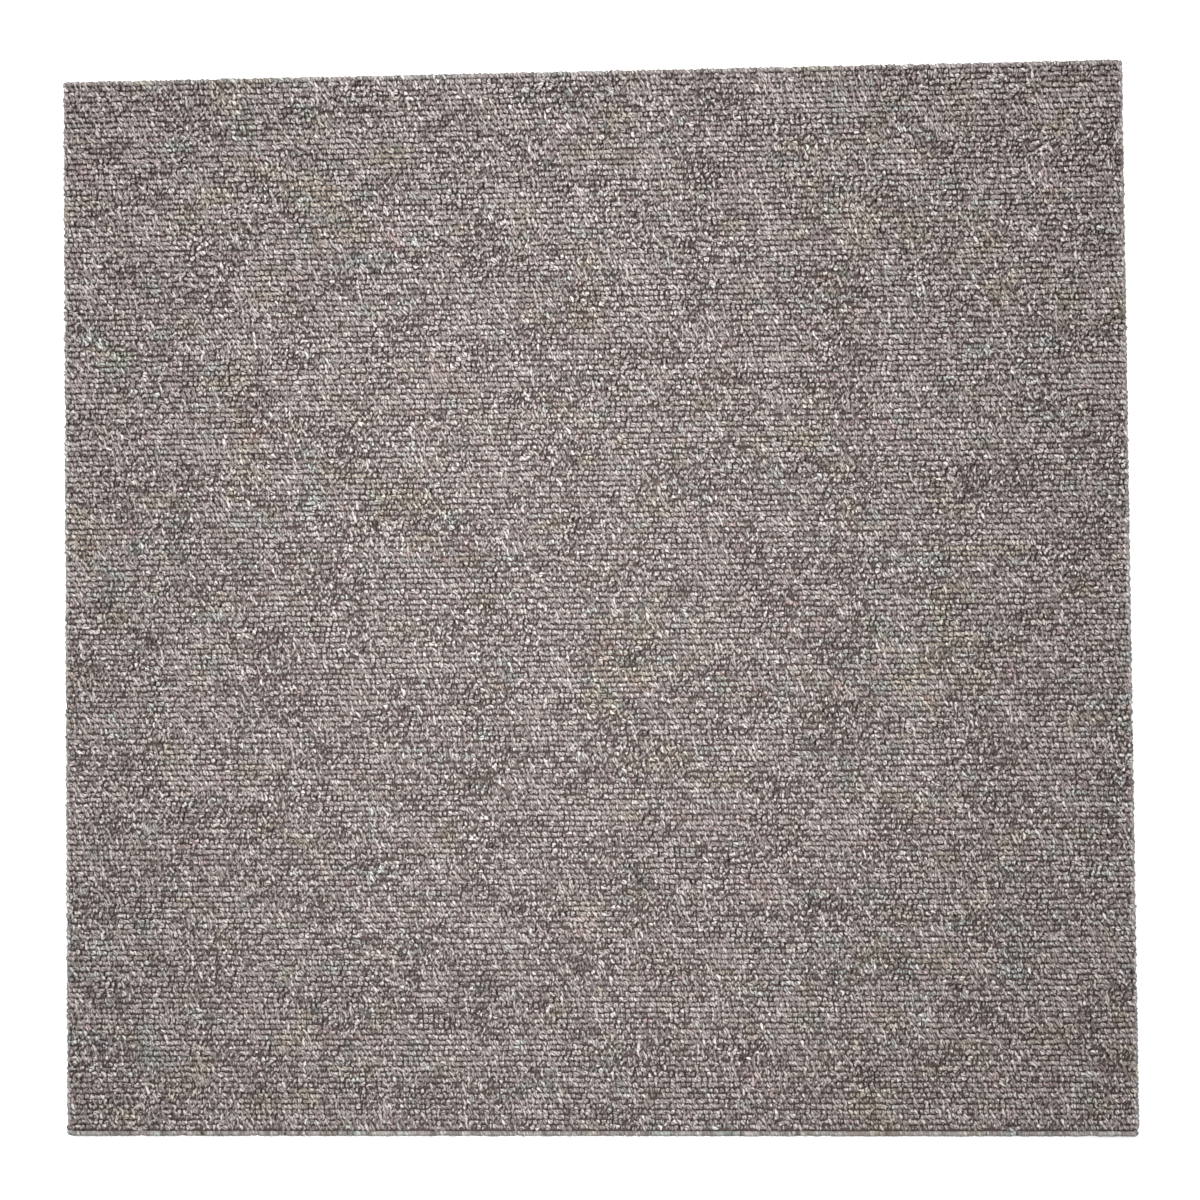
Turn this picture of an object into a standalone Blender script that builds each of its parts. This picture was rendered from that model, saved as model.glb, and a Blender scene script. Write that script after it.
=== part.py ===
"""Carpet tile, 500 mm square: loop pile tufted through a primary cloth, on a heavy backing slab.

The tile lies flat. The origin is the centre of its underside, +Z points up to the pile,
and the tuft rows run along X.
"""

import bmesh
import bpy

# Plan of the tile, in metres: the module that it covers on a floor
TILE_LENGTH = 0.500  # along the tuft rows, X
TILE_WIDTH = 0.500  # across the tuft rows, Y

# Layers from the floor up
BACKING_THICKNESS = 0.0027
PRECOAT_GAP = 0.0003  # place of the latex film that locks the tufts
CLOTH_THICKNESS = 0.0004
ROOT_GAP = 0.0003  # place of the loop roots, just above the cloth
PILE_THICKNESS = 0.0028

# Edges
BACKING_CORNER_RADIUS = 0.0006  # the cutting die leaves the plan corners almost sharp
BACKING_ARRIS = 0.00025  # bevel of the slab's lower edges
PILE_CORNER_RADIUS = 0.0020  # plan corner, where the last loops have nothing beside them
PILE_EDGE_RADIUS = 0.0012  # the outer loops round over the pile's top edge
CORNER_SEGMENTS = 6
EDGE_SEGMENTS = 4

# Heights of the layers above the floor
CLOTH_BOTTOM = BACKING_THICKNESS + PRECOAT_GAP
PILE_BOTTOM = CLOTH_BOTTOM + CLOTH_THICKNESS + ROOT_GAP

# Each layer's colour, roughness and metallic value
MAUVE_GREY_YARN = ((0.270, 0.235, 0.225, 1.0), 0.95, 0.0)
MAUVE_BROWN_SPUNBOND = ((0.105, 0.076, 0.069, 1.0), 0.90, 0.0)
CHARCOAL_COMPOUND = ((0.030, 0.030, 0.032, 1.0), 0.75, 0.0)


def clear_scene():
    """Remove whatever the startup scene holds."""
    for obj in list(bpy.data.objects):
        bpy.data.objects.remove(obj)


def finish_material(name, finish):
    """A Principled material from a (colour, roughness, metallic) finish."""
    colour, roughness, metallic = finish
    material = bpy.data.materials.new(name)
    material.use_nodes = True
    shader = material.node_tree.nodes["Principled BSDF"]
    shader.inputs["Base Color"].default_value = colour
    shader.inputs["Roughness"].default_value = roughness
    shader.inputs["Metallic"].default_value = metallic
    return material


def upright_edges(block):
    """The edges of a block that run along Z: its four plan corners."""
    return [e for e in block.edges if abs(e.verts[0].co.z - e.verts[1].co.z) > 1e-9]


def rim_edges(block, height):
    """The edges that lie at one height, around the rim of a flat face."""
    return [e for e in block.edges if all(abs(v.co.z - height) < 1e-7 for v in e.verts)]


def layer(name, thickness, corner_radius, material, bottom):
    """A flat block over the whole tile with rounded plan corners; returns it and its bmesh.

    Its own origin is the centre of its underside, and it is placed at height bottom.
    """
    block = bmesh.new()
    bmesh.ops.create_cube(block, size=1.0)
    bmesh.ops.translate(block, verts=block.verts, vec=(0.0, 0.0, 0.5))
    bmesh.ops.scale(block, verts=block.verts, vec=(TILE_LENGTH, TILE_WIDTH, thickness))
    if corner_radius:
        bmesh.ops.bevel(
            block,
            geom=upright_edges(block),
            offset=corner_radius,
            segments=CORNER_SEGMENTS,
            profile=0.5,
            affect="EDGES",
        )
    obj = bpy.data.objects.new(name, bpy.data.meshes.new(name))
    obj.data.materials.append(material)
    obj.location.z = bottom
    bpy.context.scene.collection.objects.link(obj)
    return obj, block


def soften_rim(block, height, offset, segments):
    """Bevel the rim of a block's flat face at one height."""
    bmesh.ops.bevel(
        block,
        geom=rim_edges(block, height),
        offset=offset,
        segments=segments,
        profile=0.5,
        affect="EDGES",
    )


def store(obj, block):
    """Write a finished bmesh into its object, shaded smooth over the rounded edges."""
    bmesh.ops.recalc_face_normals(block, faces=block.faces)
    block.to_mesh(obj.data)
    block.free()
    obj.data.shade_smooth()
    obj.data.set_sharp_from_angle(angle=0.6)


def backing_slab():
    """Heavy filled compound that gives the tile its weight; its cut edges butt to the next tile."""
    material = finish_material("charcoal_compound", CHARCOAL_COMPOUND)
    obj, block = layer(
        "backing_slab", BACKING_THICKNESS, BACKING_CORNER_RADIUS, material, 0.0
    )
    soften_rim(block, 0.0, BACKING_ARRIS, 1)
    store(obj, block)


def primary_cloth():
    """Thin spunbond cloth that the yarn is tufted through."""
    material = finish_material("mauve_brown_spunbond", MAUVE_BROWN_SPUNBOND)
    obj, block = layer(
        "primary_cloth", CLOTH_THICKNESS, BACKING_CORNER_RADIUS, material, CLOTH_BOTTOM
    )
    store(obj, block)


def loop_pile():
    """Envelope of the level yarn loops, rounded where the outer loops lean over the edge."""
    material = finish_material("mauve_grey_yarn", MAUVE_GREY_YARN)
    obj, block = layer(
        "loop_pile", PILE_THICKNESS, PILE_CORNER_RADIUS, material, PILE_BOTTOM
    )
    soften_rim(block, PILE_THICKNESS, PILE_EDGE_RADIUS, EDGE_SEGMENTS)
    store(obj, block)


def main():
    clear_scene()
    backing_slab()
    primary_cloth()
    loop_pile()


main()
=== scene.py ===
"""Looks of a 500 mm loop-pile carpet tile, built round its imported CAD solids.

Rows of yarn loops run along X and are made by Geometry Nodes, one band of rows a piece.
Under them lies the primary cloth, and under that the backing slab, which keeps its CAD shape.
Everything is in metres.
"""

import math

import bmesh
import bpy
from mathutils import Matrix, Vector


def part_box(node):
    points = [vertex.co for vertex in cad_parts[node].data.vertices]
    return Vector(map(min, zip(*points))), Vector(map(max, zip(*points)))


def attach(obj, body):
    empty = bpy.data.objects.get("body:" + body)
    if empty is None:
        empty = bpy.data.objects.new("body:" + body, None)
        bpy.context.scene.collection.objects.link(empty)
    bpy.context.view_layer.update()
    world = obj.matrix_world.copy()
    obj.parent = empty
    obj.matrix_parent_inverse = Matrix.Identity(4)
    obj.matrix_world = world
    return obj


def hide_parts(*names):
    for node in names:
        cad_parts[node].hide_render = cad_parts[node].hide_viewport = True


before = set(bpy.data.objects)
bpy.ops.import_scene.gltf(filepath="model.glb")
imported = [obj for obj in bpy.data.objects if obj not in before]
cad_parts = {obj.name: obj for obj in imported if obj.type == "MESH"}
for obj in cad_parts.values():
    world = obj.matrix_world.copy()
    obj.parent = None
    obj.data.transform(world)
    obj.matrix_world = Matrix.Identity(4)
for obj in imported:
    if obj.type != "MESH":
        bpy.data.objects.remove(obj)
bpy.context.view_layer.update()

# Plan of the tile, read from the CAD
PILE_LOW, PILE_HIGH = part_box("loop_pile")
CLOTH_LOW, CLOTH_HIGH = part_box("primary_cloth")
SLAB_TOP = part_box("backing_slab")[1].z
TILE_LENGTH = PILE_HIGH.x - PILE_LOW.x
TILE_WIDTH = PILE_HIGH.y - PILE_LOW.y

# Tufting
TUFT_ROWS = 201
LOOPS_IN_ROW = 201  # one more than fits, because every row starts at its own place
ROWS_IN_BAND = 34
STATIONS_IN_LOOP = 4  # root, first crest, saddle between the crests, second crest
STRAND_SIDES = 3
ROW_PITCH = TILE_WIDTH / TUFT_ROWS
LOOP_PITCH = TILE_LENGTH / (LOOPS_IN_ROW - 1)
NUMBERS_IN_ROW = 1000  # more than a row has control points, so that each has a number of its own

# Yarn
YARN_RADIUS = 0.00132
ROOT_WAIST = 0.50  # radius at the root over radius at the crown
CROWN_HEIGHT = 0.00550  # of the strand's middle, above the floor
CROWN_LIMIT = 0.00580
ROOT_HEIGHT = 0.00365

SEED = 7

# Numbers that keep the random draws of one control point apart; a bell takes two in a row
REACH_DRAW = 1
MIDDLE_DRAW = 2
STAGGER_DRAW = 4
JITTER_DRAW = 5
SLANT_DRAW = 10
WANDER_DRAW = 12
LOOP_HEIGHT_DRAW = 14
POINT_HEIGHT_DRAW = 16
ROOT_DRAW = 18
GIRTH_DRAW = 20
ROLL_DRAW = 22
SADDLE_DRAW = 24

# How much the loops differ: a range, or how far to either side
CREST_REACH = (0.16, 0.31)  # from a loop's middle to its crests, in loop pitches
MIDDLE_SHIFT = 0.14  # of a loop, in loop pitches
POINT_SHIFT = 0.14  # of a control point, in loop pitches
ROW_SHIFT = (-0.5, 0.5)  # of a whole row, in loop pitches
LEAN_SHARE = (-1.2, 0.2)  # of Lean
SADDLE_SHARE = (0.2, 1.8)  # of Ply Saddle
SADDLE_WAIST = 0.20  # how much slimmer the strand is between its crests
GIRTH_SHARE = (0.76, 1.24)  # of Yarn Radius
ROOT_LIFT = (-0.0001, 0.0005)  # metres

# How the outermost yarn differs from the rest
LAST_ROW_SHARE = 0.5  # how far the last row is like the first
STEADINESS = 0.92  # share of its slant and wander that it loses
SHALLOWNESS = 0.85  # share of the dips between its loops that it loses
FIRST_ROW_OWN_GIRTH = 0.45  # share of its own girth that the first row keeps
GAP_ROWS = 4  # rows over which the gap behind the first row dies away
GAP_SHARE = (-0.1, 1.4)  # of Front Gap, where the gap is closed and where it is widest

# Noises over the tile: waves a metre along X and Y, and a layer that keeps each one apart
LIVELY_WAVES = (30, 45, 3.0)
LEAN_WAVES = (45, 60, 7.0)
FRAY_WAVES = (70, 70, 5.0)
GAP_WAVES = (90, 0, 11.0)
TONE_WAVES = (22, 30, 2.0)
BLOTCH_WAVES = (200, 200, 9.0)
EACH_LOOP = 5000  # waves a metre, so many that neighbouring loops have nothing in common
ROW_BEND_WAVES = (90, 0.61, 0.0)  # a metre along X, and from one row to the next

# How the yarn's colours cluster: waves a metre along X and Y and waves over the liveliness,
# the noise's detail, and where the colour begins and where it is full
HEATHER_PATCHES = (
    ((64, 90, 0.0), 3.0, 0.55, 0.70),  # cool grey
    ((52, 74, 0.4), 3.0, 0.57, 0.70),  # tan
    ((90, 130, 0.8), 2.0, 0.63, 0.77),  # maroon
)

# How unruly the loops may be at a place: the calmest, and the liveliest
CALM = 0.5
LIVELY = 1.4

# Twist of the yarn
TWIST_LAG = 0.45  # by which the plies turn from one side of the strand to the other, in radians
LOOP_TURN = 0.4  # how far a loop's plies may turn against the next loop's, in radians
GROOVE_REACH = 0.36  # of the groove between the plies, to either side, in strand radii
TWIST_WAVES = (0.9, 2000, 0.0)  # of the twist's unevenness, to a loop and to a metre across the rows
GROOVE_DEPTH = 0.00025
STREAK_DEPTH = 0.0002

# Light of the yarn, from 0, dark, over 0.5, middle, to 1, pale; by height it holds painted shade towards
# the roots and painted light on the crests
LOW_YARN = 0.0042  # height above the floor where its painted shade is deepest
HIGH_YARN = 0.0057  # height above the floor where its painted light is fullest
LOW_LIGHT = 0.20
HIGH_LIGHT = 0.60
PLY_LIGHT = 0.39  # how far a ply may differ, either way
PLY_CONTRAST = (0.8, 1.2)  # of that difference, where the loops are calm and where they are lively
STREAK_LIGHT = 0.14
DRIFT_LIGHT = 0.040
LIP_BLOTCH = 0.26  # how much lighter the outermost yarn is where it is blotched

# Shade in the yarn's hollows, as the share of light that is left
NOTCH_LIGHT = (0.45, 0.0)  # at the roots, where the loops are calm and where they are lively
GROOVE_LIGHT = (0.04, 0.0)  # between the plies, the same
NOTCH_REACH = (0.04, 0.18)  # from a root, where its shade begins to fade and where it ends, in loops
RIM_REACH = (0.62, 0.87)  # where the strand's sides begin to darken and where they end, in strand radii
RIM_LIGHT = 0.66
LIP_FILL = 0.7  # share of this shade that the outermost yarn loses
LIP_DULLNESS = 0.35  # share of its light that the outermost yarn loses

# Primary cloth
CLOTH_COLUMNS = 60
CLOTH_LINES = 100
FURROW = 0.00008  # half the depth of the furrows that the tuft rows pull

# Colours
# The yarn's light picks among these three, so the dark one is also painted shade and the pale one also
# painted light
DARK_AND_SHADED_YARN = (0.036, 0.0215, 0.0195, 1.0)
MIDDLE_YARN = (0.290, 0.2438, 0.2350, 1.0)
PALE_AND_LIT_YARN = (0.606, 0.570, 0.555, 1.0)
COOL_TINT = (0.88, 1.00, 0.99, 1.0)
TAN_TINT = (0.98, 0.98, 0.86, 1.0)
MAROON_TINT = (0.96, 0.84, 0.85, 1.0)
EDGE_TINT = (0.93, 1.00, 0.985, 1.0)
# Painted shade: the cloth is darkened to stand for the shade in the gaps between the tuft rows
MAUVE_BROWN_CLOTH_AND_GAP_SHADE = (0.105, 0.076, 0.069, 1.0)
CHARCOAL_COMPOUND = (0.034, 0.034, 0.037, 1.0)
FILLER_SPECK = (0.16, 0.16, 0.155, 1.0)

# Camera, floor and light
CAMERA_PLACE = (0.03065, -0.01473, 0.7873)
CAMERA_TURN = (1.063, 1.979, -0.566)  # degrees
FLOOR_HALF = 6.0
WORLD_LIGHT = 0.80


# Node helpers

class Nodes:
    """Adds nodes to a tree and links or sets their inputs."""

    def __init__(self, tree):
        self.tree = tree

    def fill(self, socket, value):
        """Links an output to a socket, or sets the socket's own value."""
        if isinstance(value, bpy.types.NodeSocket):
            self.tree.links.new(value, socket)
        elif value is not None:
            socket.default_value = value

    def add(self, kind, inputs=None, **settings):
        """Adds a node, with its inputs by name or number and its settings by name."""
        node = self.tree.nodes.new(kind)
        for name, value in settings.items():
            setattr(node, name, value)
        for key, value in (inputs or {}).items():
            self.fill(node.inputs[key], value)
        return node

    def math(self, operation, first, second=None, third=None):
        node = self.add("ShaderNodeMath", operation=operation)
        for socket, value in zip(node.inputs, (first, second, third)):
            self.fill(socket, value)
        return node.outputs[0]

    def plus(self, first, second):
        return self.math("ADD", first, second)

    def minus(self, first, second):
        return self.math("SUBTRACT", first, second)

    def times(self, first, second):
        return self.math("MULTIPLY", first, second)

    def over(self, first, second):
        return self.math("DIVIDE", first, second)

    def towards(self, first, second, share):
        """The first value, moved towards the second by a share of the way."""
        return self.plus(first, self.times(share, self.minus(second, first)))

    def vector(self, x=0.0, y=0.0, z=0.0):
        return self.add("ShaderNodeCombineXYZ", {"X": x, "Y": y, "Z": z}).outputs[0]

    def parts(self, vector):
        return self.add("ShaderNodeSeparateXYZ", {"Vector": vector}).outputs

    def place(self, x, y, waves):
        """A place in a noise, from its waves along X and Y and its layer."""
        return self.vector(self.times(x, waves[0]), self.times(y, waves[1]), waves[2])

    def remap(self, value, low, high, new_low=0.0, new_high=1.0, smooth=False):
        """A value's way from low to high, as a number from new_low to new_high."""
        kind = "SMOOTHSTEP" if smooth else "LINEAR"
        node = self.add("ShaderNodeMapRange", interpolation_type=kind)
        for key, number in zip(("Value", "From Min", "From Max", "To Min", "To Max"),
                               (value, low, high, new_low, new_high)):
            self.fill(node.inputs[key], number)
        return node.outputs["Result"]

    def spread(self, noise_value, low, high, reach=0.2):
        """A noise, as a number from low to high; it is mostly within reach of its middle, 0.5."""
        return self.remap(noise_value, 0.5 - reach, 0.5 + reach, low, high)


# The Geometry Nodes tree of the tufted rows

# Its inputs: name, kind of socket and value
ROW_TREE_INPUTS = (
    ("Rows", "NodeSocketInt", ROWS_IN_BAND),
    ("First Row", "NodeSocketInt", 0),
    ("Row Pitch", "NodeSocketFloat", ROW_PITCH),
    ("Loops", "NodeSocketInt", LOOPS_IN_ROW),
    ("Loop Pitch", "NodeSocketFloat", LOOP_PITCH),
    ("Crown Height", "NodeSocketFloat", CROWN_HEIGHT),
    ("Root Height", "NodeSocketFloat", ROOT_HEIGHT),
    ("Yarn Radius", "NodeSocketFloat", YARN_RADIUS),
    ("Root Waist", "NodeSocketFloat", ROOT_WAIST),
    ("Crown Limit", "NodeSocketFloat", CROWN_LIMIT),
    ("Ply Saddle", "NodeSocketFloat", 0.00042),  # how far a crown dips between its crests
    ("Slant", "NodeSocketFloat", 0.00080),  # how far a loop's own crests stand apart across the row
    ("Lean", "NodeSocketFloat", 0.00050),  # the same, shared by the loops of an area
    ("Loop Wander", "NodeSocketFloat", 0.00062),  # how far a loop stands off its row
    ("Row Wander", "NodeSocketFloat", 0.00055),  # how far a row bends along its way
    ("Uneven Height", "NodeSocketFloat", 0.00040),
    ("Roll", "NodeSocketFloat", 0.55),  # how far the strand may turn about itself, in radians
    ("Half Length", "NodeSocketFloat", TILE_LENGTH / 2),
    ("Half Width", "NodeSocketFloat", TILE_WIDTH / 2),
    ("Corner Radius", "NodeSocketFloat", 0.0018),
    ("End Inset", "NodeSocketFloat", 0.0005),  # from the cut to the strand's middle, at a row's end
    ("Side Inset", "NodeSocketFloat", 0.0010),  # the same, at the first and last row
    ("Fray", "NodeSocketFloat", 0.0002),  # how far the cut outline wanders
    ("Edge Drop", "NodeSocketFloat", 0.00045),  # how much lower the outermost yarn lies
    ("Edge Radius", "NodeSocketFloat", 0.00150),  # of the outermost yarn
    ("Leg Radius", "NodeSocketFloat", 0.00155),  # of the cut ends that bend down
    ("Leg Bend", "NodeSocketFloat", 0.00075),  # over which a cut end bends down
    ("Front Gap", "NodeSocketFloat", 0.0007),  # by which the first row stands off from the next
    ("Lip", "NodeSocketFloat", 0.0015),  # length of a row's end where its loops flatten
    ("Seed", "NodeSocketInt", SEED),
    ("Yarn", "NodeSocketMaterial", None),
)


class RowFields:
    """The numbers of a control point of the tufted rows, as fields."""

    def __init__(self, nodes, sizes):
        self.nodes = nodes
        self.sizes = sizes
        index = nodes.add("GeometryNodeInputIndex").outputs[0]
        self.stations = nodes.plus(nodes.times(sizes["Loops"], STATIONS_IN_LOOP), 1)
        self.row_in_band = nodes.math("FLOOR", nodes.over(nodes.plus(index, 0.5), self.stations))
        self.station = nodes.minus(index, nodes.times(self.row_in_band, self.stations))
        self.row = nodes.plus(self.row_in_band, sizes["First Row"])
        self.loop = nodes.math("FLOOR", nodes.over(nodes.plus(self.station, 0.5), STATIONS_IN_LOOP))
        role = nodes.minus(self.station, nodes.times(self.loop, STATIONS_IN_LOOP))
        near = 0.25  # whole numbers this close are the same
        first_crest = nodes.math("COMPARE", role, 1, near)
        second_crest = nodes.math("COMPARE", role, 3, near)
        self.at_root = nodes.math("COMPARE", role, 0, near)
        self.at_saddle = nodes.math("COMPARE", role, 2, near)
        self.above = nodes.minus(1, self.at_root)
        self.side = nodes.minus(second_crest, first_crest)
        self.first_row = nodes.math("LESS_THAN", self.row, 0.5)
        self.last_row = nodes.math("GREATER_THAN", self.row, TUFT_ROWS - 1.5)
        self.loop_number = nodes.plus(nodes.times(self.row, NUMBERS_IN_ROW), self.loop)
        self.station_number = nodes.plus(nodes.times(self.row, NUMBERS_IN_ROW), self.station)

    def draw(self, low, high, number, turn):
        """A random number between low and high, the same for one loop or station."""
        seed = self.nodes.plus(self.sizes["Seed"], turn)
        node = self.nodes.add("FunctionNodeRandomValue", {"ID": number, "Seed": seed}, data_type="FLOAT")
        sockets = {socket.identifier: socket for socket in node.inputs}
        self.nodes.fill(sockets["Min_001"], low)
        self.nodes.fill(sockets["Max_001"], high)
        return node.outputs[1]

    def bell(self, reach, number, turn):
        """A random number round zero, seldom near its ends."""
        half = self.nodes.times(reach, 0.5)
        back = self.nodes.times(reach, -0.5)
        first = self.draw(back, half, number, turn)
        second = self.draw(back, half, number, turn + 1)
        return self.nodes.plus(first, second)


def row_tree():
    """Continuous strands of yarn, each a row of loops that dip to the cloth between crowns."""
    tree = bpy.data.node_groups.new("tufted_rows", "GeometryNodeTree")
    for name, kind, value in ROW_TREE_INPUTS:
        socket = tree.interface.new_socket(name, in_out="INPUT", socket_type=kind)
        if value is not None:
            socket.default_value = value
    tree.interface.new_socket("Geometry", in_out="OUTPUT", socket_type="NodeSocketGeometry")
    nodes = Nodes(tree)
    sizes = nodes.add("NodeGroupInput").outputs
    fields = RowFields(nodes, sizes)
    rows = straight_rows(nodes, sizes, fields)
    rows = shaped_rows(nodes, sizes, fields, rows)
    strands = spun_strands(nodes, rows)
    strands = tuft_facts(nodes, sizes, strands)
    strands = bake_cells(nodes, sizes, strands)
    smooth = nodes.add("GeometryNodeSetShadeSmooth", {"Geometry": strands}).outputs[0]
    real = nodes.add("GeometryNodeRealizeInstances", {"Geometry": smooth}).outputs[0]
    finished = nodes.add("GeometryNodeSetMaterial", {"Geometry": real, "Material": sizes["Yarn"]})
    nodes.add("NodeGroupOutput", {"Geometry": finished.outputs[0]})
    return tree


def straight_rows(nodes, sizes, fields):
    """One straight curve a row, with every control point that its loops need."""
    line = nodes.add("GeometryNodeCurvePrimitiveLine", {"End": (1.0, 0.0, 0.0)})
    points = nodes.add("GeometryNodeResampleCurve", {"Curve": line.outputs[0], "Count": fields.stations})
    places = nodes.add("GeometryNodeMeshLine", {"Count": sizes["Rows"]})
    copies = nodes.add(
        "GeometryNodeInstanceOnPoints",
        {"Points": places.outputs[0], "Instance": points.outputs[0]},
    )
    return nodes.add("GeometryNodeRealizeInstances", {"Geometry": copies.outputs[0]}).outputs[0]


def row_middle(nodes, sizes, row):
    """How far a row lies from the tile's middle, across the rows."""
    return nodes.times(nodes.minus(row, (TUFT_ROWS - 1) / 2), sizes["Row Pitch"])


def loop_start(nodes, sizes, loop):
    """Where a loop's first root is, along the row."""
    half_row = nodes.times(sizes["Loops"], 0.5)
    return nodes.times(nodes.minus(loop, half_row), sizes["Loop Pitch"])


def liveliness(nodes, x, y):
    """How unruly the loops are at a place: below 1 where the rows lie calm, above it where they don't."""
    unruly = noise(nodes, nodes.place(x, y, LIVELY_WAVES), 1.0, 2.0)
    return nodes.spread(unruly, CALM, LIVELY, reach=0.15)


def place_along(nodes, sizes, fields):
    """Where a control point is along its row; every loop is a little shorter, longer or shifted."""
    pitch = sizes["Loop Pitch"]
    reach = nodes.times(pitch, fields.draw(*CREST_REACH, fields.loop_number, REACH_DRAW))
    shift = fields.bell(MIDDLE_SHIFT, fields.loop_number, MIDDLE_DRAW)
    middle = nodes.times(pitch, nodes.plus(0.5, shift))
    stagger = fields.draw(*ROW_SHIFT, fields.row, STAGGER_DRAW)
    jitter = nodes.plus(stagger, fields.bell(POINT_SHIFT, fields.station_number, JITTER_DRAW))
    return nodes.plus(
        nodes.plus(loop_start(nodes, sizes, fields.loop), nodes.times(fields.above, middle)),
        nodes.plus(nodes.times(fields.side, reach), nodes.times(pitch, jitter)),
    )


def line_of_row(nodes, sizes, fields, x):
    """Where a row lies across the tile; a gap that widens and closes lies behind the first row."""
    near_front = nodes.math("MAXIMUM", nodes.minus(1, nodes.times(fields.row, 1 / GAP_ROWS)), 0.0)
    back_off = nodes.minus(near_front, nodes.times(fields.first_row, 2))
    widening = noise(nodes, nodes.place(x, 0.0, GAP_WAVES), 1.0, 2.0)
    front_gap = nodes.times(sizes["Front Gap"], nodes.spread(widening, *GAP_SHARE, reach=0.15))
    return nodes.plus(row_middle(nodes, sizes, fields.row), nodes.times(back_off, front_gap))


def stray(nodes, sizes, fields, x, line, lively):
    """How far a control point strays from its row's line: it slants with its loop and wanders."""
    drift = nodes.minus(noise(nodes, nodes.place(x, fields.row, ROW_BEND_WAVES), 1.0, 1.0), 0.5)
    lean = noise(nodes, nodes.place(x, line, LEAN_WAVES), 1.0, 2.0)
    lean = nodes.spread(lean, *LEAN_SHARE, reach=0.18)
    slant = nodes.times(fields.bell(sizes["Slant"], fields.loop_number, SLANT_DRAW), lively)
    slant = nodes.times(fields.side, nodes.plus(slant, nodes.times(lean, sizes["Lean"])))
    wander = nodes.plus(
        nodes.times(fields.bell(sizes["Loop Wander"], fields.loop_number, WANDER_DRAW), lively),
        nodes.times(drift, nodes.times(sizes["Row Wander"], 2)),
    )
    return nodes.plus(slant, wander)


def row_end(nodes, sizes, x):
    """How far a point is past the cut at its row's end, and how near that end it is, from 0 to 1."""
    cut = nodes.minus(sizes["Half Length"], sizes["End Inset"])
    overrun = nodes.math("MAXIMUM", nodes.minus(nodes.math("ABSOLUTE", x), cut), 0.0)
    lip = nodes.minus(nodes.math("ABSOLUTE", x), nodes.minus(cut, sizes["Lip"]))
    return overrun, nodes.remap(nodes.over(lip, sizes["Lip"]), 0.0, 1.0)


def crown_height(nodes, sizes, fields, lively):
    """Height of the strand's middle over a loop's crown; loops and points differ a little."""
    uneven = nodes.times(sizes["Uneven Height"], lively)
    crown = nodes.plus(
        sizes["Crown Height"], fields.bell(uneven, fields.loop_number, LOOP_HEIGHT_DRAW)
    )
    crown = nodes.plus(crown, fields.bell(uneven, fields.station_number, POINT_HEIGHT_DRAW))
    return nodes.math("MINIMUM", crown, sizes["Crown Limit"])


def strand_girth(nodes, sizes, fields, dip, saddle):
    """Radius of the strand: slim at the roots, a little slimmer between the crests."""
    waist = nodes.times(dip, nodes.minus(1, sizes["Root Waist"]))
    waist = nodes.plus(waist, nodes.times(saddle, SADDLE_WAIST))
    share = fields.draw(*GIRTH_SHARE, fields.station_number, GIRTH_DRAW)
    return nodes.times(nodes.times(nodes.minus(1, waist), share), sizes["Yarn Radius"])


def shaped_rows(nodes, sizes, fields, rows):
    """Moves the control points to their loops, with every loop a little different."""
    x = place_along(nodes, sizes, fields)
    line = line_of_row(nodes, sizes, fields, x)
    lively = liveliness(nodes, x, line)
    overrun, near_end = row_end(nodes, sizes, x)
    past_end = nodes.math("GREATER_THAN", overrun, 0.0)
    last_share = nodes.times(fields.last_row, LAST_ROW_SHARE)
    outermost = nodes.math("MAXIMUM", near_end, nodes.plus(fields.first_row, last_share))
    steady = nodes.minus(1, nodes.times(outermost, STEADINESS))
    y = nodes.plus(line, nodes.times(stray(nodes, sizes, fields, x, line, lively), steady))
    x, y, nearness = die_cut(nodes, sizes, x, y)
    edge = nodes.times(nodes.times(nearness, nearness), nodes.minus(1, last_share))

    saddle_share = fields.draw(*SADDLE_SHARE, fields.loop_number, SADDLE_DRAW)
    saddle = nodes.times(nodes.times(fields.at_saddle, saddle_share), lively)
    crown = crown_height(nodes, sizes, fields, lively)
    crown = nodes.minus(crown, nodes.times(saddle, sizes["Ply Saddle"]))
    crown = nodes.minus(crown, nodes.times(edge, sizes["Edge Drop"]))
    root_lift = fields.draw(*ROOT_LIFT, fields.station_number, ROOT_DRAW)
    dip = nodes.times(fields.at_root, nodes.minus(1, nodes.times(outermost, SHALLOWNESS)))
    z = nodes.towards(crown, nodes.plus(sizes["Root Height"], root_lift), dip)
    z = nodes.towards(z, leg_height(nodes, sizes, overrun), past_end)
    placed = nodes.add(
        "GeometryNodeSetPosition", {"Geometry": rows, "Position": nodes.vector(x, y, z)}
    ).outputs[0]

    girth = strand_girth(nodes, sizes, fields, dip, saddle)
    own_girth = nodes.times(fields.first_row, FIRST_ROW_OWN_GIRTH)
    full = nodes.minus(nodes.math("MAXIMUM", edge, outermost), own_girth)
    girth = nodes.towards(girth, sizes["Edge Radius"], full)
    girth = nodes.towards(girth, sizes["Leg Radius"], past_end)
    shaped = rolled_strand(nodes, sizes, fields, placed, edge)
    kept = (
        ("station", fields.station),
        ("row", fields.row),
        ("girth", girth),
        ("edge", edge),
    )
    for name, value in kept:
        shaped = stored(nodes, shaped, name, value)
    return shaped


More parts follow.
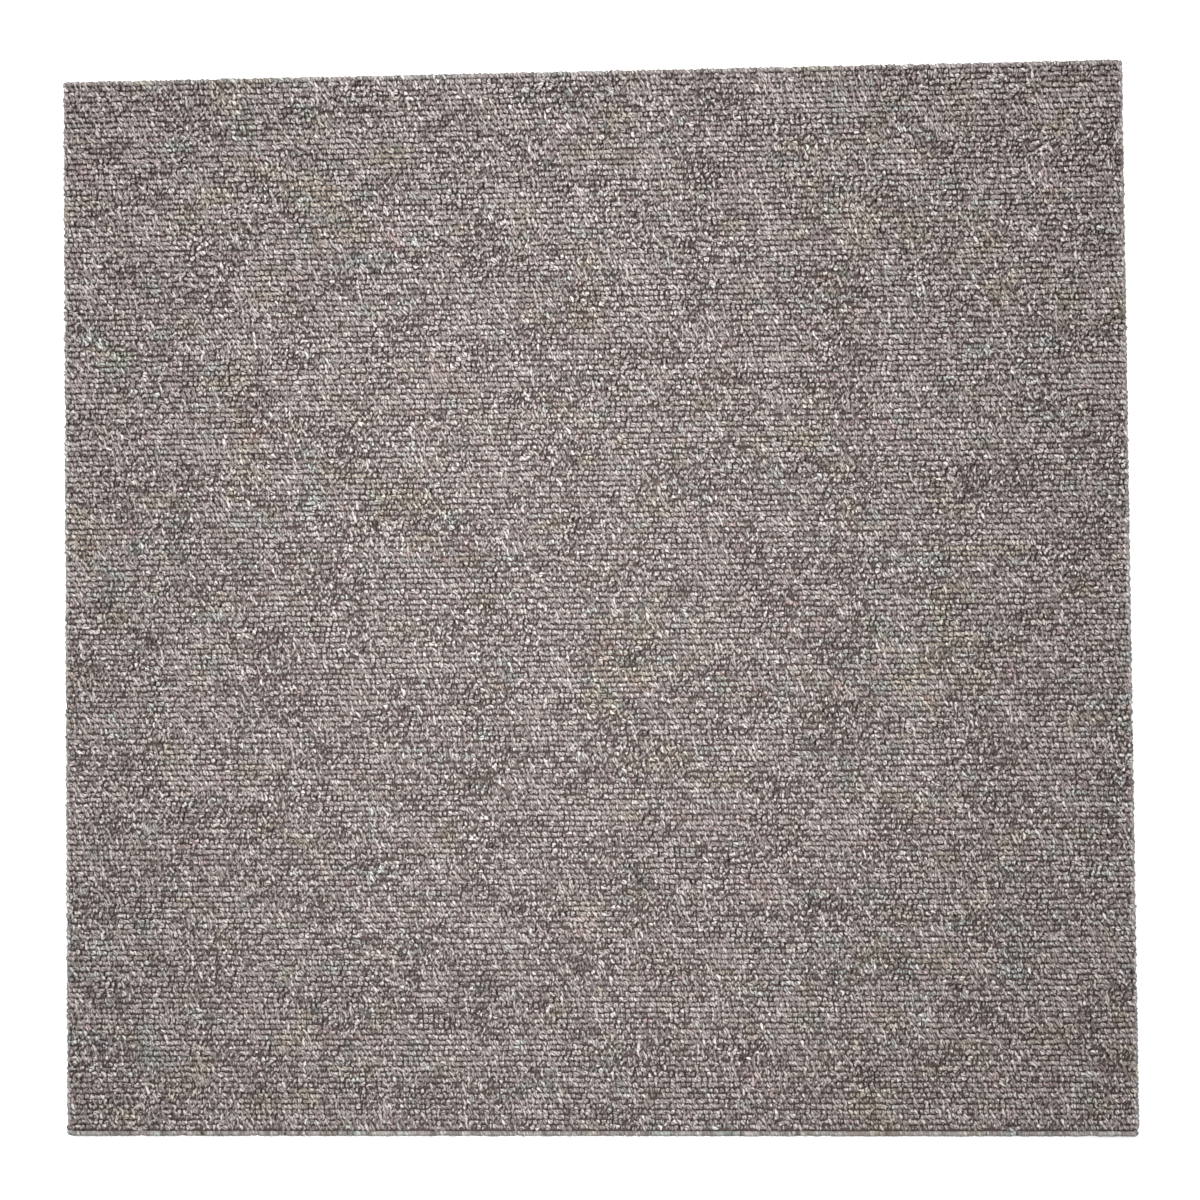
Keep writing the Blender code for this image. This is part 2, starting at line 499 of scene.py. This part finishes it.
def rolled_strand(nodes, sizes, fields, placed, edge):
    """Keeps the strand's flat side up along the row, and then turns it a little about itself."""
    along = nodes.parts(nodes.add("GeometryNodeInputTangent").outputs[0])
    least_onward = 0.15  # keeps a steep stretch from turning the strand over
    onward = nodes.math("MAXIMUM", nodes.math("ABSOLUTE", along[0]), least_onward)
    level = nodes.vector(along[1], nodes.times(onward, -1), 0.0)
    upright = nodes.add(
        "GeometryNodeSetCurveNormal", {"Curve": placed, "Normal": level}, mode="FREE"
    ).outputs[0]
    roll = fields.bell(sizes["Roll"], fields.station_number, ROLL_DRAW)
    roll = nodes.times(roll, nodes.minus(1, edge))
    return nodes.add("GeometryNodeSetCurveTilt", {"Curve": upright, "Tilt": roll}).outputs[0]


def leg_height(nodes, sizes, overrun):
    """Height of a row's cut end, which bends down to the cloth at the tile's edge."""
    reach = nodes.over(overrun, sizes["Leg Bend"])
    bend = nodes.math("EXPONENT", nodes.times(nodes.times(reach, reach), -1))
    top = nodes.minus(sizes["Crown Height"], sizes["Edge Drop"])
    return nodes.towards(sizes["Root Height"], top, bend)


def die_cut(nodes, sizes, x, y):
    """Keeps points inside the tile's cut outline; also how near the cut each one is, from 0 to 1."""
    corner = sizes["Corner Radius"]
    past = []
    sides = (
        (x, sizes["Half Length"], sizes["End Inset"]),
        (y, sizes["Half Width"], sizes["Side Inset"]),
    )
    for value, half, inset in sides:
        inner = nodes.minus(nodes.minus(half, inset), corner)
        size = nodes.math("ABSOLUTE", value)
        past.append((
            nodes.math("SIGN", value),
            nodes.math("MINIMUM", size, inner),
            nodes.math("MAXIMUM", nodes.minus(size, inner), 0.0),
        ))
    (x_sign, x_inner, x_past), (y_sign, y_inner, y_past) = past
    far = nodes.math("SQRT", nodes.plus(nodes.times(x_past, x_past), nodes.times(y_past, y_past)))
    frayed = noise(nodes, nodes.place(x, y, FRAY_WAVES), 1.0, 2.0)
    fray = nodes.times(nodes.minus(frayed, 0.5), sizes["Fray"])
    limit = nodes.plus(corner, fray)
    hair = 0.000001  # so that nothing is divided by zero
    keep = nodes.math("MINIMUM", 1.0, nodes.over(limit, nodes.plus(far, hair)))
    x = nodes.times(x_sign, nodes.plus(x_inner, nodes.times(x_past, keep)))
    y = nodes.times(y_sign, nodes.plus(y_inner, nodes.times(y_past, keep)))
    return x, y, nodes.math("MINIMUM", 1.0, nodes.over(far, limit))


def stored(nodes, geometry, name, value, kind="FLOAT", domain="POINT"):
    """The geometry with a value kept on it under a name."""
    return nodes.add(
        "GeometryNodeStoreNamedAttribute",
        {"Geometry": geometry, "Name": name, "Value": value},
        data_type=kind,
        domain=domain,
    ).outputs[0]


def named(nodes, name, kind="FLOAT"):
    """The value that the geometry keeps under a name."""
    return nodes.add("GeometryNodeInputNamedAttribute", {"Name": name}, data_type=kind).outputs[0]


def on_faces(nodes, value):
    """A value of the points, averaged over each face."""
    return nodes.add("GeometryNodeFieldOnDomain", {"Value": value}, domain="FACE").outputs[0]


def spun_strands(nodes, rows):
    """Sweeps a three-sided section along each row, flat side up, with its place round the strand kept."""
    circle = nodes.add("GeometryNodeCurvePrimitiveCircle", {"Resolution": STRAND_SIDES, "Radius": 1.0})
    place = nodes.parts(nodes.add("GeometryNodeInputPosition").outputs[0])
    around = nodes.vector(place[1], nodes.times(place[0], -1), 0.0)
    turned = nodes.vector(nodes.times(place[1], -1), place[0], 0.0)
    section = stored(nodes, circle.outputs[0], "around", around, "FLOAT_VECTOR")
    section = nodes.add("GeometryNodeSetPosition", {"Geometry": section, "Position": turned}).outputs[0]
    swept = nodes.add(
        "GeometryNodeCurveToMesh",
        {"Curve": rows, "Profile Curve": section, "Scale": named(nodes, "girth"), "Fill Caps": True},
    )
    return swept.outputs[0]


def tuft_facts(nodes, sizes, strands):
    """Gives each face its loop's place and liveliness, and each point its way along the yarn."""
    loop = nodes.math("FLOOR", nodes.over(on_faces(nodes, named(nodes, "station")), STATIONS_IN_LOOP))
    row = nodes.math("ROUND", on_faces(nodes, named(nodes, "row")))
    middle = nodes.plus(loop_start(nodes, sizes, loop), nodes.times(sizes["Loop Pitch"], 0.5))
    across = row_middle(nodes, sizes, row)
    tuft = nodes.vector(middle, across, liveliness(nodes, middle, across))
    strands = stored(nodes, strands, "tuft", tuft, "FLOAT_VECTOR", "FACE")
    strands = stored(nodes, strands, "heather", heather(nodes, tuft), "FLOAT_VECTOR", "FACE")
    along = nodes.over(named(nodes, "station"), STATIONS_IN_LOOP)
    return stored(nodes, strands, "along", along)


def heather(nodes, tuft):
    """How cool grey, how tan and how maroon the yarn of a loop is, each from 0 to 1."""
    broad_scale = 0.17  # of the broader noise that gathers the patches
    broad_share = 0.35
    amounts = []
    for stretch, detail, low, high in HEATHER_PATCHES:
        place = nodes.add("ShaderNodeVectorMath", {0: tuft, 1: stretch}, operation="MULTIPLY").outputs[0]
        broad = nodes.minus(noise(nodes, place, broad_scale, 1.0), 0.5)
        cluster = nodes.times(broad, broad_share)
        amounts.append(nodes.remap(nodes.plus(noise(nodes, place, 1.0, detail), cluster), low, high))
    return nodes.vector(*amounts)


def bake_cells(nodes, sizes, strands):
    """A UV map with a cell of its own for every side of every loop, half a row to a line."""
    halves = 2
    cell_fill = 0.94  # the rest of a cell's height keeps it apart from its neighbours
    seam = -0.9  # below this the way round the strand starts again
    in_half = nodes.times(nodes.over(sizes["Loops"], halves), STATIONS_IN_LOOP)
    station = named(nodes, "station")
    half = nodes.math("FLOOR", nodes.over(on_faces(nodes, station), in_half))
    u = nodes.over(nodes.minus(station, nodes.times(half, in_half)), in_half)

    around = nodes.parts(named(nodes, "around", "FLOAT_VECTOR"))
    turn = nodes.over(nodes.math("ARCTAN2", around[0], around[1]), math.tau)
    below = nodes.math("LESS_THAN", around[1], seam)
    half_turn = nodes.times(nodes.math("SIGN", on_faces(nodes, around[0])), 0.5)
    turn = nodes.plus(nodes.times(below, half_turn), nodes.times(nodes.minus(1, below), turn))
    row_in_band = nodes.minus(named(nodes, "row"), sizes["First Row"])
    line = nodes.plus(nodes.times(row_in_band, halves), half)
    lines = nodes.times(sizes["Rows"], halves)
    v = nodes.over(nodes.plus(nodes.plus(line, 0.5), nodes.times(turn, cell_fill)), lines)
    return stored(nodes, strands, "OFBake", nodes.vector(u, v, 0.0), "FLOAT2", "CORNER")


# Materials

def new_material(name):
    """A material with nothing in it but its output and one Principled shader."""
    material = bpy.data.materials.new(name)
    material.use_nodes = True
    tree = material.node_tree
    tree.nodes.clear()
    nodes = Nodes(tree)
    shader = nodes.add("ShaderNodeBsdfPrincipled")
    nodes.add("ShaderNodeOutputMaterial", {"Surface": shader.outputs[0]})
    return material, nodes, shader.inputs


def noise(nodes, vector, scale, detail=2.0, rough=0.5):
    """Smooth noise from 0 to 1, mostly between 0.3 and 0.7."""
    return nodes.add(
        "ShaderNodeTexNoise",
        {"Vector": vector, "Scale": scale, "Detail": detail, "Roughness": rough},
    ).outputs["Fac"]


def blend(nodes, factor, first, second, kind="MIX"):
    """Two colours mixed by a factor; the kind MULTIPLY multiplies them."""
    node = nodes.add("ShaderNodeMix", data_type="RGBA", blend_type=kind)
    nodes.fill(node.inputs[0], factor)
    nodes.fill(node.inputs[6], first)
    nodes.fill(node.inputs[7], second)
    return node.outputs[2]


def attribute(nodes, name):
    """The outputs of an attribute that a piece carries."""
    return nodes.add("ShaderNodeAttribute", attribute_name=name, attribute_type="GEOMETRY").outputs


def add_bump(nodes, shader, relief, depth, strength):
    """Fine relief on a shader; a relief of 1 stands depth high, in metres."""
    bump = nodes.add("ShaderNodeBump", {"Height": relief, "Distance": depth, "Strength": strength})
    nodes.fill(shader["Normal"], bump.outputs[0])


def white_noise(nodes, place):
    """A random number and a random colour for each place."""
    return nodes.add("ShaderNodeTexWhiteNoise", {"Vector": place}).outputs


class YarnFacts:
    """What the pile keeps on its mesh, as a material reads it."""

    def __init__(self, nodes):
        self.tuft = nodes.parts(attribute(nodes, "tuft")["Vector"])
        self.around = nodes.parts(attribute(nodes, "around")["Vector"])
        self.heather = nodes.parts(attribute(nodes, "heather")["Vector"])
        self.lively = self.tuft[2]
        self.along = attribute(nodes, "along")["Fac"]
        self.edge = attribute(nodes, "edge")["Fac"]
        self.height = nodes.parts(nodes.add("ShaderNodeTexCoord").outputs["Object"])[2]


def by_liveliness(nodes, yarn, calm, lively):
    """A number that runs from calm to lively with the loops' liveliness."""
    return nodes.remap(yarn.lively, CALM, LIVELY, calm, lively)


def ply_and_groove(nodes, yarn):
    """Which of its two plies a point of the yarn is on, and 0 in the groove between them to 1."""
    uneven = noise(nodes, nodes.place(yarn.along, yarn.tuft[1], TWIST_WAVES), 1.0, 1.0)
    turn = nodes.times(nodes.plus(yarn.along, uneven), math.tau)
    turn = nodes.plus(turn, nodes.times(yarn.around[0], TWIST_LAG))
    loop_place = nodes.place(yarn.tuft[0], yarn.tuft[1], (EACH_LOOP, EACH_LOOP, 2.0))
    loop_chance = white_noise(nodes, loop_place)["Value"]
    turn = nodes.plus(turn, nodes.remap(loop_chance, 0.0, 1.0, -LOOP_TURN, LOOP_TURN))
    twist = nodes.plus(
        nodes.times(yarn.around[0], nodes.math("COSINE", turn)),
        nodes.times(yarn.around[1], nodes.math("SINE", turn)),
    )
    ply = nodes.math("GREATER_THAN", twist, 0.0)
    return ply, nodes.remap(nodes.math("ABSOLUTE", twist), 0.0, GROOVE_REACH, smooth=True)


def filament_streaks(nodes, yarn, ply):
    """Fine streaks along the yarn, different on each ply."""
    along_share = 0.7  # less than round the strand, so that the streaks run along it
    around_share = 1.3
    row_apart = 4000
    ply_apart = 5
    strand = nodes.vector(
        nodes.times(yarn.along, along_share),
        nodes.times(yarn.around[0], around_share),
        nodes.times(yarn.around[1], around_share),
    )
    offset = nodes.vector(nodes.times(yarn.tuft[1], row_apart), nodes.times(ply, ply_apart), 0.0)
    spot = nodes.add("ShaderNodeVectorMath", {0: strand, 1: offset}, operation="ADD").outputs[0]
    return noise(nodes, spot, scale=3.0, detail=3.0)


def yarn_tone(nodes, yarn, ply, streaks):
    """How light the yarn is before its hollows are shaded: by height, painted shade darkens it towards
    the roots and painted light brightens its crests; plies, streaks and broad areas differ.
    """
    ply_place = nodes.place(yarn.tuft[0], yarn.tuft[1], (EACH_LOOP, EACH_LOOP, ply))
    ply_draws = nodes.parts(white_noise(nodes, ply_place)["Color"])
    ply_chance = nodes.plus(ply_draws[0], ply_draws[1])
    ply_light = nodes.remap(ply_chance, 0.0, 2.0, -PLY_LIGHT, PLY_LIGHT)
    contrast = by_liveliness(nodes, yarn, *PLY_CONTRAST)
    drift = noise(nodes, nodes.place(yarn.tuft[0], yarn.tuft[1], TONE_WAVES), 1.0, 3.0, 0.7)
    # Painted shade towards the roots and painted light on the crests, by height
    tone = nodes.remap(yarn.height, LOW_YARN, HIGH_YARN, LOW_LIGHT, HIGH_LIGHT, smooth=True)
    tone = nodes.plus(tone, nodes.times(contrast, ply_light))
    tone = nodes.plus(tone, nodes.spread(streaks, -STREAK_LIGHT, STREAK_LIGHT))
    return nodes.plus(tone, nodes.spread(drift, -DRIFT_LIGHT, DRIFT_LIGHT))


def hollow_shade(nodes, yarn, groove):
    """How much light is left at the strand's sides, at the roots and in the grooves, from 0 to 1."""
    from_root = nodes.math(
        "ABSOLUTE", nodes.minus(nodes.math("FRACT", nodes.plus(yarn.along, 0.5)), 0.5)
    )
    notch_light = by_liveliness(nodes, yarn, *NOTCH_LIGHT)
    notch = nodes.remap(from_root, *NOTCH_REACH, notch_light, 1.0, smooth=True)
    rim = nodes.remap(nodes.math("ABSOLUTE", yarn.around[0]), *RIM_REACH, 1.0, RIM_LIGHT)
    groove_light = by_liveliness(nodes, yarn, *GROOVE_LIGHT)
    return nodes.times(nodes.times(rim, notch), nodes.remap(groove, 0.0, 1.0, groove_light, 1.0))


def yarn_light(nodes, yarn, tone, shade):
    """How light the yarn looks, from 0 to 1; the outermost yarn is flatter, duller and blotched."""
    lip = nodes.times(yarn.edge, yarn.edge)
    shade = nodes.towards(shade, 1, nodes.times(lip, LIP_FILL))
    tone = nodes.times(tone, nodes.minus(1, nodes.times(lip, LIP_DULLNESS)))
    blotches = noise(nodes, nodes.place(yarn.tuft[0], yarn.tuft[1], BLOTCH_WAVES), 1.0, 1.0)
    lip_light = nodes.spread(blotches, 0.0, LIP_BLOTCH, reach=0.15)
    return nodes.times(nodes.plus(tone, nodes.times(lip, lip_light)), shade)


def yarn_colour(nodes, yarn, light):
    """Dark and shaded, middle, or pale and lit yarn by its light, which holds painted shade and painted
    light; tinted where the heather and the edge say so.
    """
    colour = blend(nodes, nodes.remap(light, 0.0, 0.5), DARK_AND_SHADED_YARN, MIDDLE_YARN)
    colour = blend(nodes, nodes.remap(light, 0.5, 1.0), colour, PALE_AND_LIT_YARN)
    cool, tan, maroon = yarn.heather
    tints = ((cool, COOL_TINT), (tan, TAN_TINT), (maroon, MAROON_TINT), (yarn.edge, EDGE_TINT))
    for amount, tint in tints:
        colour = blend(nodes, amount, colour, blend(nodes, 1.0, colour, tint, "MULTIPLY"))
    return colour


def yarn_material():
    """Heathered two-ply yarn: its colour drifts over the tile, each ply differs, and filaments show;
    painted shade darkens its roots, sides and grooves, and painted light brightens its crests.
    """
    material, nodes, shader = new_material("heathered_loop_yarn")
    yarn = YarnFacts(nodes)
    ply, groove = ply_and_groove(nodes, yarn)
    streaks = filament_streaks(nodes, yarn, ply)
    tone = yarn_tone(nodes, yarn, ply, streaks)
    light = yarn_light(nodes, yarn, tone, hollow_shade(nodes, yarn, groove))
    nodes.fill(shader["Base Color"], yarn_colour(nodes, yarn, light))
    nodes.fill(shader["Roughness"], nodes.spread(streaks, 0.65, 0.95))
    relief = nodes.plus(nodes.times(groove, GROOVE_DEPTH), nodes.times(streaks, STREAK_DEPTH))
    add_bump(nodes, shader, relief, depth=1.0, strength=1.0)
    shader["Specular IOR Level"].default_value = 0.25
    shader["Sheen Weight"].default_value = 0.1
    shader["Sheen Roughness"].default_value = 0.4
    return material


def cloth_material():
    """Spunbond: matted filaments pressed flat, in a dark mauve-brown that is painted shade of the gaps
    between the tuft rows.
    """
    material, nodes, shader = new_material("spunbond_primary_cloth")
    place = nodes.add("ShaderNodeTexCoord").outputs["Object"]
    mat = noise(nodes, place, scale=1600.0, detail=4.0, rough=0.7)
    patch = noise(nodes, place, scale=60.0, detail=2.0)
    tone = nodes.plus(nodes.spread(mat, 0.75, 1.15), nodes.spread(patch, -0.08, 0.08))
    # Painted shade: the cloth's dark colour stands for the shade in the gaps between the rows
    colour = blend(nodes, 1.0, MAUVE_BROWN_CLOTH_AND_GAP_SHADE, nodes.vector(tone, tone, tone), "MULTIPLY")
    nodes.fill(shader["Base Color"], colour)
    nodes.fill(shader["Roughness"], nodes.spread(mat, 0.8, 1.0))
    add_bump(nodes, shader, mat, depth=0.0001, strength=0.8)
    shader["Specular IOR Level"].default_value = 0.2
    return material


def compound_material():
    """Filled backing compound, charcoal, with a fine grain and chalky filler specks."""
    material, nodes, shader = new_material("charcoal_backing_compound")
    place = nodes.add("ShaderNodeTexCoord").outputs["Object"]
    grain = noise(nodes, place, scale=900.0, detail=4.0, rough=0.6)
    cloud = noise(nodes, place, scale=25.0, detail=3.0)
    specks = nodes.remap(noise(nodes, place, scale=2200.0, detail=1.0), 0.68, 0.74)
    tone = nodes.plus(nodes.spread(grain, 0.75, 1.25), nodes.spread(cloud, -0.12, 0.12))
    colour = blend(nodes, 1.0, CHARCOAL_COMPOUND, nodes.vector(tone, tone, tone), "MULTIPLY")
    colour = blend(nodes, nodes.times(specks, 0.5), colour, FILLER_SPECK)
    nodes.fill(shader["Base Color"], colour)
    nodes.fill(shader["Roughness"], nodes.spread(grain, 0.6, 0.85))
    add_bump(nodes, shader, grain, depth=0.00012, strength=0.7)
    return material


def floor_material():
    """Plain pale floor, very slightly uneven in tone."""
    material, nodes, shader = new_material("pale_floor")
    place = nodes.add("ShaderNodeTexCoord").outputs["Object"]
    tone = nodes.spread(noise(nodes, place, scale=6.0, detail=3.0), 0.90, 0.92)
    nodes.fill(shader["Base Color"], nodes.vector(tone, tone, tone))
    shader["Roughness"].default_value = 0.9
    shader["Specular IOR Level"].default_value = 0.1
    return material


# Pieces

def set_inputs(modifier, values):
    """Sets a Geometry Nodes modifier's inputs, named as in its tree."""
    sockets = {
        item.name: item.identifier
        for item in modifier.node_group.interface.items_tree
        if item.item_type == "SOCKET" and item.in_out == "INPUT"
    }
    for name, value in values.items():
        modifier[sockets[name]] = value


def made_by(tree, name, values):
    """The plain mesh piece that a tree makes."""
    holder = bpy.data.objects.new(name + "_holder", bpy.data.meshes.new(name + "_holder"))
    bpy.context.scene.collection.objects.link(holder)
    modifier = holder.modifiers.new("make", "NODES")
    modifier.node_group = tree
    set_inputs(modifier, values)
    graph = bpy.context.evaluated_depsgraph_get()
    mesh = bpy.data.meshes.new_from_object(holder.evaluated_get(graph), depsgraph=graph)
    holder.modifiers.remove(modifier)
    bpy.data.objects.remove(holder)
    mesh.name = name
    piece = bpy.data.objects.new(name, mesh)
    bpy.context.scene.collection.objects.link(piece)
    return piece


def loop_bands(material):
    """The whole pile, one piece for each band of rows."""
    tree = row_tree()
    bands = []
    for number, first in enumerate(range(0, TUFT_ROWS, ROWS_IN_BAND), start=1):
        rows = min(ROWS_IN_BAND, TUFT_ROWS - first)
        values = {"Rows": rows, "First Row": first, "Yarn": material}
        bands.append(made_by(tree, f"loop_band_{number}", values))
    return bands


def cloth_face(block, level, furrow):
    """The points of one face of the cloth, line by line, raised and sunk in turn."""
    length = CLOTH_HIGH.x - CLOTH_LOW.x
    width = CLOTH_HIGH.y - CLOTH_LOW.y
    grid = []
    for i in range(CLOTH_LINES + 1):
        y = CLOTH_LOW.y + width * i / CLOTH_LINES
        z = level + (furrow if i % 2 else -furrow)
        places = [CLOTH_LOW.x + length * j / CLOTH_COLUMNS for j in range(CLOTH_COLUMNS + 1)]
        grid.append([block.verts.new((x, y, z)) for x in places])
    return grid


def close_cloth(block, bottom, top):
    """Fills both faces of the cloth and its four cut edges."""
    for i in range(CLOTH_LINES):
        for j in range(CLOTH_COLUMNS):
            block.faces.new((top[i][j], top[i][j + 1], top[i + 1][j + 1], top[i + 1][j]))
            block.faces.new((bottom[i][j], bottom[i + 1][j], bottom[i + 1][j + 1], bottom[i][j + 1]))
    for j in range(CLOTH_COLUMNS):
        block.faces.new((bottom[0][j], bottom[0][j + 1], top[0][j + 1], top[0][j]))
        block.faces.new((bottom[-1][j + 1], bottom[-1][j], top[-1][j], top[-1][j + 1]))
    for i in range(CLOTH_LINES):
        block.faces.new((bottom[i + 1][0], bottom[i][0], top[i][0], top[i + 1][0]))
        block.faces.new((bottom[i][-1], bottom[i + 1][-1], top[i + 1][-1], top[i][-1]))


def cloth_sheet(material):
    """The primary cloth: a sheet that the tuft rows pull into faint furrows."""
    block = bmesh.new()
    bottom = cloth_face(block, SLAB_TOP, 0.0)
    top = cloth_face(block, CLOTH_HIGH.z, FURROW)
    close_cloth(block, bottom, top)
    bmesh.ops.recalc_face_normals(block, faces=block.faces)
    mesh = bpy.data.meshes.new("primary_cloth_sheet")
    block.to_mesh(mesh)
    block.free()
    mesh.materials.append(material)
    piece = bpy.data.objects.new("primary_cloth_sheet", mesh)
    bpy.context.scene.collection.objects.link(piece)
    return piece


# Camera, floor and light

def add_camera():
    """Almost straight down, as the photograph was taken; fitted to the tile's outline."""
    data = bpy.data.cameras.new("camera")
    data.lens = 50
    data.sensor_width = 36
    data.clip_start = 0.01
    camera = bpy.data.objects.new("camera", data)
    camera.location = CAMERA_PLACE
    camera.rotation_euler = [math.radians(angle) for angle in CAMERA_TURN]
    bpy.context.scene.collection.objects.link(camera)
    bpy.context.scene.camera = camera


def add_floor():
    """A wide level floor under the tile."""
    mesh = bpy.data.meshes.new("floor")
    half = FLOOR_HALF
    corners = [(-half, -half, 0), (half, -half, 0), (half, half, 0), (-half, half, 0)]
    mesh.from_pydata(corners, [], [(0, 1, 2, 3)])
    mesh.materials.append(floor_material())
    floor = bpy.data.objects.new("floor", mesh)
    bpy.context.scene.collection.objects.link(floor)


def add_light(name, place, size, power, target=(0.0, 0.0, 0.0), spread=180):
    """A soft rectangular light that faces its target; the spread is in degrees."""
    data = bpy.data.lights.new(name, "AREA")
    data.shape = "RECTANGLE"
    data.size, data.size_y = size
    data.energy = power
    data.spread = math.radians(spread)
    light = bpy.data.objects.new(name, data)
    light.location = place
    light.rotation_euler = (Vector(target) - Vector(place)).to_track_quat("-Z", "Y").to_euler()
    bpy.context.scene.collection.objects.link(light)


def add_lights():
    """Even studio light: a pale surround, a key from behind and a softbox over the middle."""
    world = bpy.data.worlds.new("studio")
    world.use_nodes = True
    background = world.node_tree.nodes["Background"]
    background.inputs["Color"].default_value = (1.0, 1.0, 1.0, 1.0)
    background.inputs["Strength"].default_value = WORLD_LIGHT
    bpy.context.scene.world = world
    add_light("key", place=(-0.30, 1.30, 2.00), size=(1.1, 1.1), power=34)
    add_light(
        "softbox", place=(-0.03, 0.03, 0.84), size=(0.15, 0.70), power=1.8,
        target=(-0.03, 0.03, 0.0), spread=70,
    )
    bpy.context.scene.view_settings.view_transform = "Standard"


# Assembly

yarn = yarn_material()
for band in loop_bands(yarn):
    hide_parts("loop_pile")
    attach(band, "root")

cloth = cloth_sheet(cloth_material())
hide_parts("primary_cloth")
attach(cloth, "root")

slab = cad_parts["backing_slab"]
slab.data.materials.clear()
slab.data.materials.append(compound_material())

add_camera()
add_floor()
add_lights()
